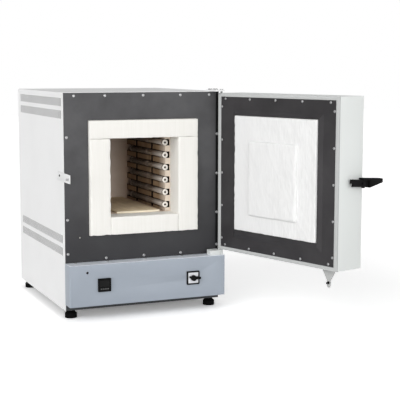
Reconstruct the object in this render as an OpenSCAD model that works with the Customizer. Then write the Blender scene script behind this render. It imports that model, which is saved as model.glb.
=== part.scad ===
// Electric chamber furnace for enamel, casting and metal clay, with a side-hinged door.
// The door stands open as at rest. Millimetres, Z up.
// The origin is the centre of the casing's underside; the front faces -Y.

/* [Casing] */
// Outside width of the casing and of the door
body_w = 600; // [570:5:640]
// Depth of the casing behind the front plate
body_d = 650; // [630:5:700]
// Height of the casing above its underside
body_h = 780; // [760:5:820]
// Thickness of the folded sheet steel
sheet = 1.5; // [1.2:0.1:1.8]
// Outside radius of the folded edges
bend_r = 3; // [2:0.5:4]
// Thickness of the dark front plate
plate_t = 2; // [1.5:0.5:3]

/* [Vents] */
// Height of one band of slots
vent_h = 29; // [24:1:32]
// Width of one slot
vent_w = 6; // [4:0.5:8]
// Distance from slot to slot
vent_pitch = 14; // [12:1:20]
// Distance of the first slot behind the front plate
vent_start = 26; // [24:1:40]

/* [Chamber] */
// Clear width of the opening in the collar
mouth_w = 262; // [250:2:270]
// Clear height of the opening in the collar
mouth_h = 283; // [270:1:290]
// Height of the chamber floor above the casing's underside
floor_z = 332; // [328:1:340]
// Clear width between the chamber walls
chamber_w = 225; // [215:1:235]
// Distance of the chamber's back wall behind the front plate
chamber_y = 500; // [480:5:510]
// Thickness of the brick of roof, floor and back wall
brick_t = 25; // [20:1:30]
// Outside width of the fibre collar
collar_w = 416; // [400:2:430]
// Height of the collar's top and bottom block
collar_bar = 65; // [60:1:68]
// How far the collar stands out from the front plate
collar_out = 17; // [14:0.5:20]
// How far the collar reaches in behind the front plate
collar_in = 70; // [60:1:80]
// Width of the loose hearth plate
hearth_w = 168; // [150:1:178]
// How far the hearth plate lies to the right of the middle
hearth_x = 5; // [-5:1:5]
// Thickness of the hearth plate
hearth_t = 6.5; // [5:0.5:9]

/* [Heating] */
// Number of tubes one above the other on each side
tube_n = 6; // [4:1:7]
// Outside diameter of a support tube at its ends
tube_d = 22; // [20:0.5:24]
// Diameter of a support tube under the winding
tube_core = 16.5; // [15:0.5:17]
// Bore of a support tube
tube_bore = 8.5; // [7:0.5:10]
// Outside diameter of the winding
wind_d = 21; // [19.5:0.1:21.4]
// Length of one support tube
tube_len = 182; // [170:1:184]
// Width of the upright channels in the side walls
channel_w = 22; // [16:1:26]

/* [Control box] */
// Height of the control box
panel_h = 150; // [145:1:155]
// Height of its lower edge above the casing's underside
panel_z = 22.5; // [18:0.5:26]
// Depth of the control box in front of the front plate
panel_d = 59; // [55:1:66]
// Side of the square controller front
ctrl_s = 48; // [46:1:52]
// Side of the square switch front
switch_s = 50; // [46:1:54]
// Length of the switch knob's grip from its axis
grip_l = 26; // [22:1:30]

/* [Door] */
// Thickness of the door from the lip to its outer face
door_t = 119; // [105:1:125]
// Distance of the closed door's lip from the front plate
door_gap = 32; // [31:0.5:36]
// Distance of the hinge axis from the door's lip and from its edge
hinge_in = 8; // [7.5:0.1:9]
// Angle by which the door stands open
door_open = 107; // [60:1:140]
// Width of the lip at the sides of the door
lip_w = 16; // [14:0.5:18]
// Width of the lip at the top and bottom of the door
lip_h = 12.5; // [11:0.5:14]
// Height of the raised border round the pad
rise = 7; // [5:0.5:8]
// Width of the fibre pad
pad_w = 406; // [396:1:412]
// Height of the fibre pad
pad_h = 416; // [410:1:420]
// How far the plug stands out from the pad
plug_t = 11; // [8:0.5:14]

/* [Hinge] */
// Diameter of the hinge pins
pin_d = 8; // [7:0.5:9]
// Radial clearance of the pins in the door
pin_fit = 0.08; // [0.04:0.01:0.1]
// Thickness of the hinge plate on the casing
hinge_t = 5; // [4:0.5:6]

/* [Latch] */
// Height of the latch pivot above the casing's underside
latch_z = 484.5; // [470:0.5:500]
// Height of the lever arm
arm_h = 24; // [22:0.5:26]
// Diameter of the keeper pin
keeper_d = 7; // [6:0.5:7.5]
// Angle of the released lever from its hooked place
latch_swing = 7; // [6.5:0.1:8]

/* [Feet] */
// Diameter of a rubber foot where it stands
foot_d = 44; // [38:1:48]
// Height of a rubber foot
foot_h = 25; // [22:1:30]
// Gap between foot and casing, where the stud shows
foot_gap = 6; // [5:0.5:9]
// Height of the bevel round the top of a foot
foot_bevel = 8; // [5:1:10]
// Thickness of the collar that holds a stud under the casing
stud_collar = 2; // [1.5:0.5:3]

/* [Hidden] */

$fn = 48;
eps = 0.01;
// half width, plane of the front plate and plane of the rear
xw = body_w / 2;
yf = -body_d / 2;
yb = body_d / 2;
// inner faces of the casing
xi = xw - sheet;
zi = body_h - sheet;
// control box
panel_top = panel_z + panel_h;
pf = yf - panel_d;
ctrl_x = -173;
ctrl_z = panel_z + panel_h / 2 - 0.5;
switch_x = 170;
switch_z = ctrl_z - 0.5;
lock_x = -235;
lock_z = panel_top - 28.5;
// front plate and the flange behind it
plate_z = panel_top + 0.5;
apron_top = plate_z + 22;
flange_y = yf + plate_t;
shell_y = flange_y + sheet;
// inner shell
shell_x = xw - 17;
shell_z0 = panel_top - 2;
shell_z1 = body_h - 18.5;
shell_yb = yb - 39;
// chamber and collar
ceil_z = floor_z + mouth_h;
cw = chamber_w / 2;
wall_x = cw + 52.5;
groove_x = cw + 16.5;
chamber_yb = yf + chamber_y;
back_t = 40;
collar_z0 = floor_z - collar_bar + 1;
collar_z1 = ceil_z + collar_bar;
collar_yf = yf - collar_out;
collar_yb = yf + collar_in;
cx = collar_w / 2;
// heating
tube_x = cw + 1;
groove_h = tube_d + 2;
tube_lo = floor_z + tube_d / 2 + 13;
tube_pitch = (mouth_h - tube_d - 28) / (tube_n - 1);
tube_y = collar_yb + 5;
tube_y2 = tube_y + tube_len + 1;
tube_end = 9;
tube_fit = 0.1;
channel_ys = [yf + 201, yf + 373];
// screws
screw_d = 4;
screw_hole = 4.2;
head_d = 10;
head_h = 2.5;
// door, in its closed place
lip_y = yf - door_gap;
door_y = lip_y - door_t;
door_z0 = panel_top + 21;
door_z1 = body_h - 5.5;
hx = xw - hinge_in;
hy = lip_y - hinge_in;
plate_x = xw - lip_w - 1;
plate_v0 = door_z0 + lip_h + 1;
plate_v1 = door_z1 - lip_h - 1;
seat_w = 14;
slope = 2.4;
pad_x = -7;
pad_z0 = collar_z0 + 12;
pad_y = collar_yf - 0.5;
plug_w = mouth_w - 19;
plug_h = mouth_h - 13;
plug_x = -4.5;
plug_z0 = floor_z + 7;
plug_y = pad_y + plug_t;
border = 2;
door_fill_y = lip_y - 2 - sheet;
// hinge
block_h = 18;
bush_h = 30;
// latch
latch_y = lip_y - 99;
arm_x = xw + 9;
arm_t = 9;
cheek_t = 3;
keeper_p = 47;
keeper_q = -2.5;
latch_rest = latch_swing - 2;
catch_z = latch_z - 2;
pivot_d = 6;
// feet and stud
foot_x = xw - 28;
foot_ys = [yf + 29, yb - 40];
stud_d = 10;

module box(a, b) {
    translate(a) cube(b - a);
}

module both_sides() {
    children();
    mirror([1, 0, 0]) children();
}

module along_y(y0, len) {
    translate([0, y0 + len, 0]) rotate([90, 0, 0]) linear_extrude(len) children();
}

module along_x(x0, len) {
    translate([x0, 0, 0]) rotate([90, 0, 90]) linear_extrude(len) children();
}

module round_rect(x0, x1, y0, y1, r) {
    translate([x0 + r, y0]) square([x1 - x0 - 2 * r, y1 - y0]);
    translate([x0, y0 + r]) square([x1 - x0, y1 - y0 - 2 * r]);
    for (x = [x0 + r, x1 - r], y = [y0 + r, y1 - r])
        translate([x, y]) circle(r);
}

// pan-head screw with a cross slot, head on top at z = 0 and shank downwards
module pan_screw(d, hd, hh, len) {
    difference() {
        union() {
            cylinder(h = hh * 0.55, d = hd);
            translate([0, 0, hh * 0.55]) cylinder(h = hh * 0.45, d1 = hd, d2 = hd * 0.7);
        }
        for (a = [0, 90])
            rotate([0, 0, a]) translate([-hd * 0.28, -0.6, hh * 0.4]) cube([hd * 0.56, 1.2, hh]);
    }
    translate([0, 0, -len]) cylinder(h = len + eps, d = d);
}

// places of the screws, as [x, z] on the front plate
front_spots = concat(
    [for (x = [-260, -145, 0, 145, 260]) [x * body_w / 600, zi - 11]],
    [for (s = [-1, 1], z = [205, 328, 475, 622]) [s * (xw - 10) + 2, z * body_h / 780]],
    [for (x = [-145, 0, 145]) [x, plate_z + 10]]);
rear_spots = concat(
    [for (x = [-200, 0, 200]) [x, zi - 8]],
    [for (s = [-1, 1], z = [130, 340, 560]) [s * (xi - 8), z]],
    [for (x = [-200, 0, 200]) [x, sheet + 10]]);
panel_spots = [for (x = [-265, -145, 0, 145]) [x * body_w / 600, yf - 14]];
block_bolts = [[hx - 37, yf - 23], [hx - 17, yf - 23]];
top_bolts = [for (x = [hx - 20, hx + 1], y = [yf + 7, yf + 28]) [x, y]];

// bands of slots, as the height of each band's lower edge
vent_zs = [197, 241.5, body_h - 20 - 2 * vent_h - 15, body_h - 20 - vent_h];
vent_n = floor((body_d - 38 - vent_start - vent_w) / vent_pitch);
rear_n = floor((body_w - 120) / (2 * vent_pitch));

module side_vents() {
    for (z = vent_zs, i = [0 : vent_n])
        translate([-xw - 1, yf + vent_start + i * vent_pitch, z]) cube([body_w + 2, vent_w, vent_h]);
}

module casing_wrap() {
    color([0.93, 0.93, 0.93])
    difference() {
        union() {
            difference() {
                along_y(yf, body_d) difference() {
                    union() {
                        translate([-xw, 0]) square([body_w, body_h - bend_r]);
                        round_rect(-xw, xw, 10, body_h, bend_r);
                    }
                    translate([-xi, -1]) square([2 * xi, body_h - bend_r + 1]);
                    round_rect(-xi, xi, 10, zi, bend_r - sheet);
                }
                side_vents();
            }
            // flanges for the front plate
            both_sides() box([shell_x - 2, flange_y, apron_top + 1], [xi + eps, shell_y, zi]);
            box([-xi, flange_y, zi - 20], [xi, shell_y, zi + eps]);
            // flanges for the rear cover
            both_sides() box([xi - 16, yb - 2 * sheet, sheet + 22], [xi + eps, yb - sheet, zi]);
            box([-xi, yb - 2 * sheet, zi - 16], [xi, yb - sheet, zi + eps]);
        }
        for (s = front_spots)
            translate([s[0], flange_y - 1, s[1]]) rotate([-90, 0, 0]) cylinder(h = sheet + 2, d = screw_hole);
        for (s = rear_spots)
            translate([s[0], yb - 3 * sheet, s[1]]) rotate([-90, 0, 0]) cylinder(h = 3 * sheet, d = screw_hole);
        // hole for the catch plate's screw
        translate([-xw - 1, yf + 41, catch_z + 2]) rotate([0, 90, 0]) cylinder(h = sheet + 2, d = screw_hole);
        // holes for the hinge bolts
        for (s = top_bolts)
            translate([s[0], s[1], zi - 1]) cylinder(h = sheet + 2, d = 5.2);
    }
}

module base_tray() {
    color([0.72, 0.73, 0.74])
    difference() {
        union() {
            box([-xi, yf, 0], [xi, yb - sheet, sheet]);
            // apron behind the control box, with the rail and the flange under the front plate
            box([-xi, yf, 0], [xi, yf + sheet, panel_top - sheet]);
            box([-xi, yf, panel_top - 2 * sheet], [xi, shell_y, panel_top - sheet]);
            box([-xi, flange_y, panel_top - 2 * sheet], [xi, shell_y, apron_top]);
            box([-xi + 12, yf - 30, panel_top - 2 * sheet], [xi - 12, yf + eps, panel_top - sheet]);
            // folded edges at the rear and at the sides
            box([-xi, yb - 2 * sheet, 0], [xi, yb - sheet, sheet + 20]);
            both_sides() box([xi - sheet, yf, 0], [xi, yb - sheet, sheet + 20]);
        }
        // window for the wiring
        box([-xi + 45, yf - 1, panel_z + 22], [xi - 45, yf + sheet + 1, panel_top - 30]);
        for (x = [-foot_x, foot_x], y = foot_ys)
            translate([x, y, -1]) cylinder(h = sheet + 2, d = stud_d + 0.4);
        for (s = panel_spots)
            translate([s[0], s[1], panel_top - 3 * sheet]) cylinder(h = 3 * sheet, d = screw_hole);
        for (s = block_bolts)
            translate([s[0], s[1], panel_top - 3 * sheet]) cylinder(h = 3 * sheet, d = 5.2);
        for (s = front_spots)
            translate([s[0], flange_y - 1, s[1]]) rotate([-90, 0, 0]) cylinder(h = sheet + 2, d = screw_hole);
        for (s = rear_spots)
            translate([s[0], yb - 3 * sheet, s[1]]) rotate([-90, 0, 0]) cylinder(h = 3 * sheet, d = screw_hole);
    }
}

gland_x = -220;
gland_z = 80;
gland_d = 16;

module rear_cover() {
    color([0.93, 0.93, 0.93])
    difference() {
        box([-xi + 0.2, yb - sheet, 0], [xi - 0.2, yb, zi - 0.2]);
        for (z = vent_zs, i = [0 : rear_n])
            translate([-rear_n * vent_pitch + i * 2 * vent_pitch - vent_w / 2, yb - sheet - 1, z])
                cube([vent_w, sheet + 2, vent_h]);
        translate([gland_x, yb - sheet - 1, gland_z]) rotate([-90, 0, 0])
            cylinder(h = sheet + 2, d = gland_d + 0.2);
        for (s = rear_spots)
            translate([s[0], yb - 2 * sheet, s[1]]) rotate([-90, 0, 0]) cylinder(h = 3 * sheet, d = screw_hole);
    }
}

module casing_screws() {
    color([0.80, 0.80, 0.80]) {
        for (s = front_spots)
            translate([s[0], yf, s[1]]) rotate([90, 0, 0])
                pan_screw(screw_d, head_d, head_h, plate_t + sheet - 0.1);
        for (s = rear_spots)
            translate([s[0], yb, s[1]]) rotate([-90, 0, 0]) pan_screw(screw_d, head_d, head_h, 2 * sheet - 0.1);
        for (s = panel_spots)
            translate([s[0], s[1], panel_top]) pan_screw(screw_d, head_d, head_h, 2 * sheet + 3);
    }
}

module front_plate() {
    color([0.30, 0.30, 0.31])
    difference() {
        box([-xi + 0.2, yf, plate_z], [xi - 0.2, yf + plate_t, zi - 0.2]);
        box([-cx - 1, yf - 1, collar_z0 - 1], [cx + 1, yf + plate_t + 1, collar_z1 + 1]);
        for (s = front_spots)
            translate([s[0], yf - 1, s[1]]) rotate([-90, 0, 0]) cylinder(h = plate_t + 2, d = screw_hole);
        // small blind-looking hole at the lower left
        translate([-243, yf - 1, 262]) rotate([-90, 0, 0]) cylinder(h = plate_t + 2, d = 6);
    }
}

module collar_top() {
    color([0.98, 0.98, 0.95]) box([-cx, collar_yf, ceil_z], [cx, collar_yb, collar_z1]);
}

module collar_bottom() {
    color([0.98, 0.98, 0.95])
    box([-mouth_w / 2, collar_yf, collar_z0], [mouth_w / 2, collar_yb, floor_z]);
}

module collar_sides() {
    color([0.98, 0.98, 0.95])
    both_sides() box([mouth_w / 2, collar_yf, collar_z0], [cx, collar_yb, ceil_z]);
}

module chamber_roof() {
    color([0.72, 0.64, 0.55])
    box([-wall_x, collar_yb, ceil_z], [wall_x, chamber_yb + back_t, ceil_z + brick_t]);
}

module chamber_floor() {
    color([0.78, 0.72, 0.64])
    box([-wall_x, collar_yb, floor_z - brick_t], [wall_x, chamber_yb + back_t, floor_z]);
}

// right-hand brick wall: a slab with a groove for each tube and two upright channels,
// so that rows of raised blocks stay between the tubes
module grooved_wall() {
    difference() {
        box([cw, collar_yb, floor_z], [wall_x, chamber_yb, ceil_z]);
        for (i = [0 : tube_n - 1])
            translate([cw - 1, collar_yb - 1, tube_lo + i * tube_pitch - tube_d / 2 - tube_fit])
                cube([groove_x - cw + 1, chamber_yb - collar_yb + 2, groove_h]);
        for (y = channel_ys)
            translate([cw - 1, y, floor_z - 1]) cube([groove_x - cw + 1, channel_w, mouth_h + 2]);
    }
}

module chamber_wall_left() {
    color([0.72, 0.64, 0.55]) mirror([1, 0, 0]) grooved_wall();
}

module chamber_wall_right() {
    color([0.72, 0.64, 0.55]) grooved_wall();
}

probe_z = ceil_z - 50;
probe_d = 6;

module probe_hole() {
    translate([0, chamber_yb - 1, probe_z]) rotate([-90, 0, 0]) cylinder(h = body_d, d = probe_d + 0.2);
}

module chamber_back() {
    color([0.75, 0.70, 0.65])
    difference() {
        box([-wall_x, chamber_yb, floor_z], [wall_x, chamber_yb + back_t, ceil_z]);
        probe_hole();
    }
}

module insulation_top() {
    color([0.95, 0.94, 0.90])
    difference() {
        box([-shell_x, shell_y, ceil_z + brick_t], [shell_x, shell_yb, shell_z1 - sheet]);
        box([-cx, shell_y - 1, ceil_z], [cx, collar_yb, collar_z1]);
    }
}

module insulation_bottom() {
    color([0.95, 0.94, 0.90])
    difference() {
        box([-shell_x, shell_y, shell_z0 + sheet], [shell_x, shell_yb, floor_z - brick_t]);
        box([-cx, shell_y - 1, collar_z0], [cx, collar_yb, floor_z]);
    }
}

module insulation_sides() {
    color([0.95, 0.94, 0.90])
    both_sides() difference() {
        box([wall_x, shell_y, floor_z - brick_t], [shell_x, shell_yb, ceil_z + brick_t]);
        box([wall_x - 1, shell_y - 1, floor_z - brick_t - 1], [cx, collar_yb, ceil_z + brick_t + 1]);
    }
}

module insulation_back() {
    color([0.95, 0.94, 0.90])
    difference() {
        box([-wall_x, chamber_yb + back_t, floor_z - brick_t], [wall_x, shell_yb, ceil_z + brick_t]);
        probe_hole();
    }
}

// sheet box round the insulation; its sides run down to the base tray as legs
module inner_shell() {
    color([0.70, 0.71, 0.72])
    difference() {
        union() {
            both_sides() box([shell_x, shell_y, sheet], [shell_x + sheet, shell_yb + sheet, shell_z1]);
            box([-shell_x - eps, shell_y, shell_z1 - sheet], [shell_x + eps, shell_yb + sheet, shell_z1]);
            box([-shell_x - eps, shell_y, shell_z0], [shell_x + eps, shell_yb + sheet, shell_z0 + sheet]);
            box([-shell_x - eps, shell_yb, shell_z0], [shell_x + eps, shell_yb + sheet, shell_z1]);
        }
        both_sides() box([shell_x - 1, yf + 70, 30], [shell_x + sheet + 1, yb - 110, shell_z0 - 25]);
        probe_hole();
    }
}

module each_tube() {
    both_sides() for (i = [0 : tube_n - 1], y = [tube_y, tube_y2])
        translate([tube_x, y, tube_lo + i * tube_pitch]) rotate([-90, 0, 0]) children();
}

module heater_tubes() {
    color([0.93, 0.90, 0.84])
    each_tube() difference() {
        union() {
            cylinder(h = tube_len, d = tube_core);
            cylinder(h = tube_end, d = tube_d);
            translate([0, 0, tube_len - tube_end]) cylinder(h = tube_end, d = tube_d);
        }
        translate([0, 0, -1]) cylinder(h = tube_len + 2, d = tube_bore);
    }
}

module heater_windings() {
    color([0.36, 0.30, 0.26])
    each_tube() translate([0, 0, tube_end + tube_fit]) difference() {
        cylinder(h = tube_len - 2 * tube_end - 2 * tube_fit, d = wind_d);
        translate([0, 0, -1]) cylinder(h = tube_len, d = tube_core + 2 * tube_fit);
    }
}

module hearth_plate() {
    color([0.87, 0.79, 0.64])
    box([hearth_x - hearth_w / 2, collar_yb, floor_z],
        [hearth_x + hearth_w / 2, chamber_yb - 3, floor_z + hearth_t]);
}

module thermocouple() {
    color([0.85, 0.83, 0.80]) {
        translate([0, chamber_yb - 40, probe_z]) rotate([-90, 0, 0])
            cylinder(h = shell_yb + sheet - chamber_yb + 41, d = probe_d);
        box([-13, shell_yb + sheet, probe_z - 16], [13, shell_yb + sheet + 16, probe_z + 16]);
    }
}

// control box: an open-backed tray with rounded front corners
module control_panel() {
    color([0.66, 0.69, 0.73])
    difference() {
        translate([0, 0, panel_z]) linear_extrude(panel_h) intersection() {
            round_rect(-xw, xw, pf, yf + 20, bend_r);
            translate([-xw, pf]) square([body_w, panel_d]);
        }
        translate([0, 0, panel_z + sheet]) linear_extrude(panel_h - 2 * sheet)
            round_rect(-xi, xi, pf + sheet, yf + 20, bend_r - sheet);
        // openings for controller, switch and interlock pin
        box([ctrl_x - ctrl_s / 2 + 1.5, pf - 1, ctrl_z - ctrl_s / 2 + 1.5],
            [ctrl_x + ctrl_s / 2 - 1.5, pf + sheet + 1, ctrl_z + ctrl_s / 2 - 1.5]);
        translate([switch_x, pf - 1, switch_z]) rotate([-90, 0, 0]) cylinder(h = sheet + 2, d = 18);
        translate([lock_x, pf - 1, lock_z]) rotate([-90, 0, 0]) cylinder(h = sheet + 2, d = 9);
        for (s = panel_spots)
            translate([s[0], s[1], panel_top - 2 * sheet]) cylinder(h = 3 * sheet, d = screw_hole);
        for (s = block_bolts)
            translate([s[0], s[1], panel_top - 2 * sheet]) cylinder(h = 3 * sheet, d = 5.2);
    }
}

bezel_t = 6;
key_w = 5.6;
key_h = 4;
key_z = ctrl_z - 14.2;
key_fit = 0.3;
view_w = 38;
view_h = 24;
view_z = ctrl_z + 5;
function key_x(i) = ctrl_x + (i - 2.5) * 8.2;

module controller_bezel() {
    color([0.12, 0.12, 0.13])
    difference() {
        along_y(pf - bezel_t, bezel_t)
            round_rect(ctrl_x - ctrl_s / 2, ctrl_x + ctrl_s / 2, ctrl_z - ctrl_s / 2, ctrl_z + ctrl_s / 2, 2);
        box([ctrl_x - ctrl_s / 2 + 2, pf - 4.5, ctrl_z - ctrl_s / 2 + 2],
            [ctrl_x + ctrl_s / 2 - 2, pf + 1, ctrl_z + ctrl_s / 2 - 2]);
        box([ctrl_x - view_w / 2, pf - bezel_t - 1, view_z - view_h / 2],
            [ctrl_x + view_w / 2, pf, view_z + view_h / 2]);
        for (i = [1 : 4])
            box([key_x(i) - key_w / 2 - key_fit, pf - bezel_t - 1, key_z - key_h / 2 - key_fit],
                [key_x(i) + key_w / 2 + key_fit, pf, key_z + key_h / 2 + key_fit]);
    }
}

module controller_screen() {
    color([0.05, 0.05, 0.06])
    box([ctrl_x - view_w / 2 - 2, pf - 4.5, view_z - view_h / 2 - 2],
        [ctrl_x + view_w / 2 + 2, pf - 3, view_z + view_h / 2 + 2]);
}

module controller_case() {
    color([0.16, 0.16, 0.17])
    difference() {
        box([ctrl_x - ctrl_s / 2 + 2, pf - 3, ctrl_z - ctrl_s / 2 + 2],
            [ctrl_x + ctrl_s / 2 - 2, pf + panel_d - 8, ctrl_z + ctrl_s / 2 - 2]);
        box([ctrl_x - ctrl_s / 2, pf - 4, ctrl_z - ctrl_s / 2],
            [ctrl_x + ctrl_s / 2, pf - 2.2, view_z - view_h / 2 - 2.5]);
    }
}

module key(i) {
    color([0.45, 0.46, 0.48]) {
        box([key_x(i) - key_w / 2, pf - bezel_t - 0.8, key_z - key_h / 2],
            [key_x(i) + key_w / 2, pf - 4, key_z + key_h / 2]);
        box([key_x(i) - 3.6, pf - 4.2, key_z - 2.9], [key_x(i) + 3.6, pf - 3.3, key_z + 2.9]);
    }
}

module key_1() { key(1); }
module key_2() { key(2); }
module key_3() { key(3); }
module key_4() { key(4); }

frame_t = 5;
shaft_d = 8;

module switch_frame() {
    color([0.08, 0.08, 0.09])
    difference() {
        along_y(pf - frame_t, frame_t)
            round_rect(switch_x - switch_s / 2, switch_x + switch_s / 2,
                switch_z - switch_s / 2, switch_z + switch_s / 2, 3);
        box([switch_x - switch_s / 2 + 3, pf - frame_t - 1, switch_z - switch_s / 2 + 3],
            [switch_x + switch_s / 2 - 3, pf - frame_t + 1.5, switch_z + switch_s / 2 - 3]);
        translate([switch_x, pf - frame_t - 1, switch_z]) rotate([-90, 0, 0]) cylinder(h = frame_t + 2, d = 14);
    }
}

module switch_plate() {
    color([0.80, 0.81, 0.83])
    difference() {
        along_y(pf - frame_t, 1.5)
            round_rect(switch_x - switch_s / 2 + 3.1, switch_x + switch_s / 2 - 3.1,
                switch_z - switch_s / 2 + 3.1, switch_z + switch_s / 2 - 3.1, 1);
        translate([switch_x, pf - frame_t - 1, switch_z]) rotate([-90, 0, 0]) cylinder(h = 4, d = 14);
    }
}

module switch_body() {
    color([0.20, 0.20, 0.21])
    difference() {
        box([switch_x - 21, pf + sheet, switch_z - 21], [switch_x + 21, pf + 42, switch_z + 21]);
        translate([switch_x, pf, switch_z]) rotate([-90, 0, 0]) cylinder(h = 24, d = shaft_d + 2 * pin_fit);
    }
}

// knob with a long grip, a short tail and a shaft that runs back into the contact block
module switch_knob() {
    color([0.06, 0.06, 0.07])
    translate([switch_x, pf - frame_t - 0.4, switch_z]) rotate([90, 0, 0]) {
        cylinder(h = 9, d = 21);
        translate([0, 0, 9]) cylinder(h = 6, d1 = 18, d2 = 15);
        linear_extrude(13) {
            translate([0, -4.5]) square([grip_l - 4.5, 9]);
            translate([grip_l - 4.5, 0]) circle(4.5);
        }
        rotate([0, 0, 164]) linear_extrude(11) {
            translate([0, -4]) square([13, 8]);
            translate([13, 0]) circle(4);
        }
        translate([0, 0, -22]) cylinder(h = 23, d = shaft_d);
    }
}

tip_y = pf + 7;
plunger_d = 4;

module interlock_switch() {
    color([0.10, 0.10, 0.11])
    difference() {
        box([lock_x - 8, pf + sheet, lock_z - 20], [lock_x + 8, pf + 28, lock_z + 10]);
        translate([lock_x, pf, lock_z]) rotate([-90, 0, 0]) cylinder(h = 12, d = 9);
        translate([lock_x, pf, lock_z]) rotate([-90, 0, 0]) cylinder(h = 26, d = plunger_d + 0.1);
    }
}

module interlock_plunger() {
    color([0.75, 0.20, 0.18])
    translate([lock_x, tip_y + 0.5, lock_z]) rotate([-90, 0, 0]) cylinder(h = 13, d = plunger_d);
}

module catch_plate() {
    color([0.92, 0.92, 0.92])
    difference() {
        union() {
            box([-xw - 3, yf - 13, catch_z - 15.5], [-xw, yf + 72, catch_z + 15.5]);
            box([-xw - 6, yf - 13, catch_z - 15.5], [-xw, yf - 10, catch_z + 15.5]);
            box([-xw - 6, yf - 94, catch_z - 15.5], [-xw - 3, yf - 10, catch_z + 15.5]);
        }
        translate([-xw - 4, yf + 41, catch_z + 2]) rotate([0, 90, 0]) cylinder(h = 5, d = screw_hole);
        translate([-xw - 7, latch_y + keeper_p, latch_z + keeper_q]) rotate([0, 90, 0])
            cylinder(h = 5, d = 5.1);
    }
}

module catch_screw() {
    color([0.15, 0.15, 0.16])
    translate([-xw - 3, yf + 41, catch_z + 2]) rotate([0, -90, 0]) pan_screw(screw_d, 8, 2.4, 3 + sheet + 2);
}

module catch_pin() {
    color([0.70, 0.71, 0.72])
    translate([-xw - 6, latch_y + keeper_p, latch_z + keeper_q]) rotate([0, -90, 0]) {
        cylinder(h = 10.3, d = keeper_d);
        translate([0, 0, -2.9]) cylinder(h = 3, d = 5);
    }
}

module hinge_plate_top() {
    color([0.92, 0.92, 0.92])
    difference() {
        translate([0, 0, body_h]) linear_extrude(hinge_t) round_rect(hx - 30, xw, hy - 12, yf + 38, 5);
        translate([hx, hy, body_h - 1]) cylinder(h = hinge_t + 2, d = pin_d + 0.1);
        for (s = top_bolts)
            translate([s[0], s[1], body_h - 1]) cylinder(h = hinge_t + 2, d = 5.2);
    }
}

module hinge_bolts() {
    color([0.62, 0.63, 0.65]) {
        for (s = top_bolts) {
            translate([s[0], s[1], body_h + hinge_t]) pan_screw(5, 8.5, 4.5, hinge_t + sheet + 3);
        }
        for (s = block_bolts)
            translate([s[0], s[1], panel_top + block_h - 5]) pan_screw(5, 9, 4, block_h - 5 + 2 * sheet + 2);
    }
}

// top pin with a head on the hinge plate; bottom pin with a collar that carries the door
module hinge_pins() {
    color([0.55, 0.56, 0.58]) {
        translate([hx, hy, door_z1 - bush_h + 4])
            cylinder(h = body_h + hinge_t - door_z1 + bush_h - 4 + eps, d = pin_d);
        translate([hx, hy, body_h + hinge_t]) cylinder(h = 4, d = 12);
        translate([hx, hy, panel_top + 4]) cylinder(h = door_z0 - panel_top - 4 + bush_h - 4, d = pin_d);
        translate([hx, hy, panel_top + block_h]) cylinder(h = door_z0 - panel_top - block_h - 0.3, d = 12);
    }
}

module hinge_block_bottom() {
    color([0.88, 0.89, 0.90])
    difference() {
        translate([0, 0, panel_top]) linear_extrude(block_h) {
            round_rect(hx - 47, hx - 7, hy - 13, yf - 15, 3);
            translate([hx - 10, hy - 6]) square([10, 12]);
            translate([hx, hy]) circle(7.5);
        }
        translate([hx, hy, panel_top + 4]) cylinder(h = block_h, d = pin_d + 0.1);
        for (s = block_bolts) {
            translate([s[0], s[1], panel_top - 1]) cylinder(h = block_h + 2, d = 5.2);
            translate([s[0], s[1], panel_top + block_h - 5]) cylinder(h = 6, d = 9.6);
        }
    }
}

module foot_pads() {
    color([0.07, 0.07, 0.07])
    for (x = [-foot_x, foot_x], y = foot_ys)
        translate([x, y, -foot_gap - foot_h]) difference() {
            union() {
                cylinder(h = foot_h - foot_bevel, d = foot_d);
                translate([0, 0, foot_h - foot_bevel]) cylinder(h = foot_bevel, d1 = foot_d, d2 = foot_d - 18);
            }
            translate([0, 0, 5]) cylinder(h = foot_h, d = stud_d + 0.1);
        }
}

// stud with a collar under the casing and a nut inside it
module foot_studs() {
    color([0.78, 0.78, 0.79])
    for (x = [-foot_x, foot_x], y = foot_ys)
        translate([x, y, 0]) {
            translate([0, 0, -foot_gap - foot_h + 5.1]) cylinder(h = foot_gap + foot_h + 7, d = stud_d);
            translate([0, 0, -stud_collar]) cylinder(h = stud_collar, d = 17);
            translate([0, 0, sheet]) cylinder(h = 8, d = 17, $fn = 6);
        }
}

module cable_gland() {
    color([0.10, 0.10, 0.11])
    translate([gland_x, yb, gland_z]) rotate([-90, 0, 0]) difference() {
        union() {
            translate([0, 0, -sheet - 7]) cylinder(h = sheet + 8, d = gland_d);
            translate([0, 0, -sheet - 5]) cylinder(h = 5, d = 24, $fn = 6);
            cylinder(h = 7, d = 25, $fn = 6);
            translate([0, 0, 7]) cylinder(h = 6, d = 21);
            translate([0, 0, 13]) cylinder(h = 5, d1 = 21, d2 = 15);
        }
        translate([0, 0, -20]) cylinder(h = 60, d = 9);
    }
}

module relay() {
    color([0.85, 0.85, 0.82]) {
        box([60, -20, sheet], [120, 60, sheet + 8]);
        box([66, -14, sheet], [114, 54, sheet + 62]);
    }
}

// turns the closed door about the hinge axis to where it stands
module door_pose() {
    translate([hx, hy, 0]) rotate([0, 0, door_open]) translate([-hx, -hy, 0]) children();
}

door_spots = concat(
    [for (x = [-260, -130, 0, 130, 260], z = [plate_v0 + 8, plate_v1 - 7]) [x * body_w / 600, z]],
    [for (s = [-1, 1], k = [0.078, 0.287, 0.497, 0.706, 0.915])
        [s * (xw - 22), door_z0 + k * (door_z1 - door_z0)]]);

module door_outline(g, r) {
    translate([-xw + g, door_y + g + r]) square([body_w - 2 * g, door_t - g - r]);
    translate([-xw + g + r, door_y + g]) square([body_w - 2 * g - 2 * r, door_t - g]);
    for (s = [-1, 1])
        translate([s * (xw - g - r), door_y + g + r]) circle(r);
}

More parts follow.
